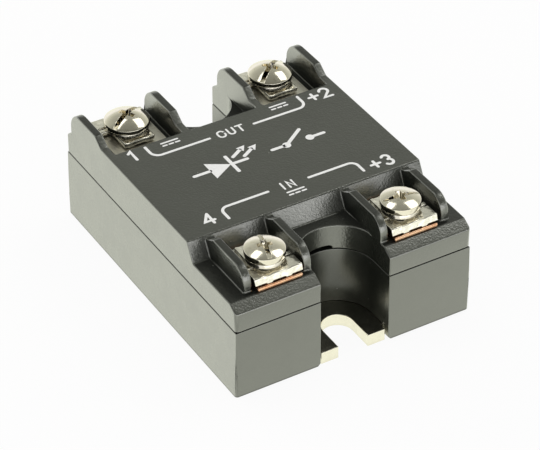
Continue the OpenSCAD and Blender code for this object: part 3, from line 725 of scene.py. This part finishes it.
bracket("print_output_line", left=-15.4, right=14.1, line_y=9.4, leg_y=12.6, gap=(-4.9, 3.7), r=1.5)
bracket("print_input_line", left=-13.2, right=12.3, line_y=-8.5, leg_y=-11.5, gap=(-4.2, 3.55), r=1.3)

# Plain circuit sign in the middle of the plate: a light source, two rays and a switch
SCHEME_Y = 1.2
# Outer ends of its wires
WIRE_ENDS = (-12.4, 12.4)
# The source's triangle from its back to its tip, with its bar just past the tip
SOURCE_BACK = -9.4
SOURCE_TIP = -5.5
SOURCE_BAR = -5.3
SOURCE_HALF = 2.3
SOURCE_END = -2.4
# Tail of each ray, with its height over the scheme's line, then a ray's run to its tip and its head's length
RAYS = {"print_ray_1": (-4.2, 1.6), "print_ray_2": (-2.4, 0.9)}
RAY_RUN = (3.3, 2.0)
RAY_HEAD = 1.5
# The switch's two contacts, the start of its wire, and its lever's free end with its height over the line
CONTACTS = (5.2, 9.7)
CONTACT_R = 0.75
SWITCH_START = 2.4
LEVER_END = (9.3, 2.9)


def arrow(name, tail, tip):
    """Arrow of ink with a filled head."""
    tail, tip = Vector(tail), Vector(tip)
    along = (tip - tail).normalized()
    half = RAY_HEAD / 2 * Vector((-along.y, along.x))
    neck = tip - RAY_HEAD * along
    stroked(name + "_shaft", [[tail, neck]], SCHEME_STROKE)
    printed(name + "_tip", [[neck + half, neck - half, tip]])


stroked("print_source", [
    [(WIRE_ENDS[0], SCHEME_Y), (SOURCE_BACK, SCHEME_Y)],
    [(SOURCE_BAR, SCHEME_Y + SOURCE_HALF), (SOURCE_BAR, SCHEME_Y - SOURCE_HALF)],
    [(SOURCE_BAR, SCHEME_Y), (SOURCE_END, SCHEME_Y)],
], SCHEME_STROKE)
printed("print_source_body", [[
    (SOURCE_BACK, SCHEME_Y - SOURCE_HALF), (SOURCE_TIP, SCHEME_Y), (SOURCE_BACK, SCHEME_Y + SOURCE_HALF),
]])
for name, (x, y) in RAYS.items():
    arrow(name, (x, SCHEME_Y + y), (x + RAY_RUN[0], SCHEME_Y + y + RAY_RUN[1]))
stroked("print_switch", [
    [(SWITCH_START, SCHEME_Y), (CONTACTS[0], SCHEME_Y)],
    [(CONTACTS[0], SCHEME_Y), (LEVER_END[0], SCHEME_Y + LEVER_END[1])],
    [(CONTACTS[1], SCHEME_Y), (WIRE_ENDS[1], SCHEME_Y)],
], SCHEME_STROKE)
printed("print_contacts", [arc(x, SCHEME_Y, CONTACT_R, 0, 345, 23) for x in CONTACTS])


# Tint of the studio in reflections
STUDIO_TINT = (0.985, 1.0, 0.89)
LAMP_TINT = (1.0, 1.0, 0.96)
# Half width of the floor in metres, and its height in millimetres
FLOOR_HALF = 4.0
FLOOR_TOP = -0.02
# Share of the floor's own white in what the camera and the reflections see of it; the rest is lit and shaded
FLOOR_GLOW = 0.93
# What the lamps aim at, in metres
LAMP_AIM = Vector((0, 0, 0.012))
# Brightness in reflections by height: a white sweep behind, a white table and a dark room in front
SKY_BACK = ((0.0, 1.0), (0.2, 1.0), (0.35, 0.7), (0.6, 0.45), (1.0, 0.26))
SKY_FRONT = ((0.0, 1.0), (0.3, 1.0), (0.45, 0.3), (0.6, 0.11), (1.0, 0.2))
# Direction of the sweep, and the band of it in which the front turns into the back
TO_BACK = (0.51, 0.86, 0.0)
TURN_TO_BACK = (-0.2, 0.3)
# Light of the surround on the part
AMBIENT = (0.65, 0.65, 0.65)
# The camera's place and aim in millimetres, and its lens
EYE = (-170.46, -288.99, 259.32)
TARGET = (-0.87, -3.55, 10.0)
LENS = 166.17
SENSOR = 36


def floor():
    """Pale table that shows white to the camera and in reflections, and keeps a trace of the shadow."""
    mesh = bpy.data.meshes.new("floor")
    corners = [(-1, -1), (1, -1), (1, 1), (-1, 1)]
    points = [(x * FLOOR_HALF, y * FLOOR_HALF, FLOOR_TOP * MM) for x, y in corners]
    mesh.from_pydata(points, [], [(0, 1, 2, 3)])
    made = bpy.data.objects.new("floor", mesh)
    bpy.context.scene.collection.objects.link(made)
    s = Surface("floor_white", Roughness=0.9)
    s.set(Base_Color=s.blend(s.noise(6, 3), (0.90, 0.90, 0.90), (0.88, 0.88, 0.88)))
    path = s.node("ShaderNodeLightPath").outputs
    seen = s.most(path["Is Camera Ray"], path["Is Glossy Ray"], path["Is Transmission Ray"])
    paper = s.blend(path["Is Glossy Ray"], WHITE, STUDIO_TINT)
    glow = s.node("ShaderNodeEmission", {"Color": paper, "Strength": 1.0}).outputs["Emission"]
    sides = {0: s.product(seen, FLOOR_GLOW), 1: s.shader.outputs["BSDF"], 2: glow}
    mixed = s.node("ShaderNodeMixShader", sides).outputs["Shader"]
    s.feed(s.tree.nodes["Material Output"].inputs["Surface"], mixed)
    mesh.materials.append(s.material)


def lamp(name, azimuth, elevation, distance, size, watts, shines=True):
    """Soft box in a direction from the part, in degrees from +X and above the floor."""
    a, e = math.radians(azimuth), math.radians(elevation)
    direction = Vector((math.cos(a) * math.cos(e), math.sin(a) * math.cos(e), math.sin(e)))
    data = bpy.data.lights.new(name, "AREA")
    data.shape = "RECTANGLE"
    data.size, data.size_y = size
    data.energy = watts
    data.color = LAMP_TINT
    made = bpy.data.objects.new(name, data)
    bpy.context.scene.collection.objects.link(made)
    made.location = LAMP_AIM + distance * direction
    made.rotation_euler = (-direction).to_track_quat("-Z", "Y").to_euler()
    made.visible_camera = False
    made.visible_glossy = shines


def world():
    """White to the camera, a studio in reflections, and dim as a light."""
    made = bpy.data.worlds.new("studio")
    bpy.context.scene.world = made
    made.use_nodes = True
    w = Nodes(made.node_tree)
    direction = w.node("ShaderNodeTexCoord").outputs["Generated"]
    height = w.node("ShaderNodeSeparateXYZ", {"Vector": direction}).outputs["Z"]

    def sky(levels):
        ramp = w.node("ShaderNodeValToRGB", {"Fac": height})
        stops = ramp.color_ramp.elements
        while len(stops) < len(levels):
            stops.new(0.5)
        for stop, (z, level) in zip(stops, levels):
            stop.position = z
            stop.color = rgba(times(STUDIO_TINT, level) if level < 1 else WHITE)
        return ramp.outputs["Color"]

    behind = w.span(w.dot(direction, TO_BACK), *TURN_TO_BACK)
    studio = w.blend(behind, sky(SKY_FRONT), sky(SKY_BACK))
    path = w.node("ShaderNodeLightPath").outputs
    colour = w.blend(path["Is Glossy Ray"], AMBIENT, studio)
    colour = w.blend(path["Is Transmission Ray"], colour, WHITE)
    colour = w.blend(path["Is Camera Ray"], colour, WHITE)
    background = w.tree.nodes["Background"].inputs
    w.feed(background["Color"], colour)
    w.feed(background["Strength"], 1.0)


def camera():
    eye, target = Vector(EYE) * MM, Vector(TARGET) * MM
    data = bpy.data.cameras.new("camera")
    data.sensor_width = SENSOR
    data.lens = LENS
    data.clip_start = 0.01
    made = bpy.data.objects.new("camera", data)
    bpy.context.scene.collection.objects.link(made)
    made.location = eye
    made.rotation_euler = (target - eye).to_track_quat("-Z", "Y").to_euler()
    bpy.context.scene.camera = made


floor()
lamp("key_left", azimuth=121, elevation=9, distance=1.2, size=(1.6, 0.34), watts=8.0, shines=False)
lamp("fill_front", azimuth=-92, elevation=14, distance=0.64, size=(0.7, 0.3), watts=0.5)
lamp("box_left", azimuth=115, elevation=66, distance=0.7, size=(0.45, 0.18), watts=0.42)
lamp("box_right", azimuth=8, elevation=54, distance=0.7, size=(0.36, 0.26), watts=0.52)
world()
camera()
bpy.context.scene.view_settings.view_transform = "Standard"
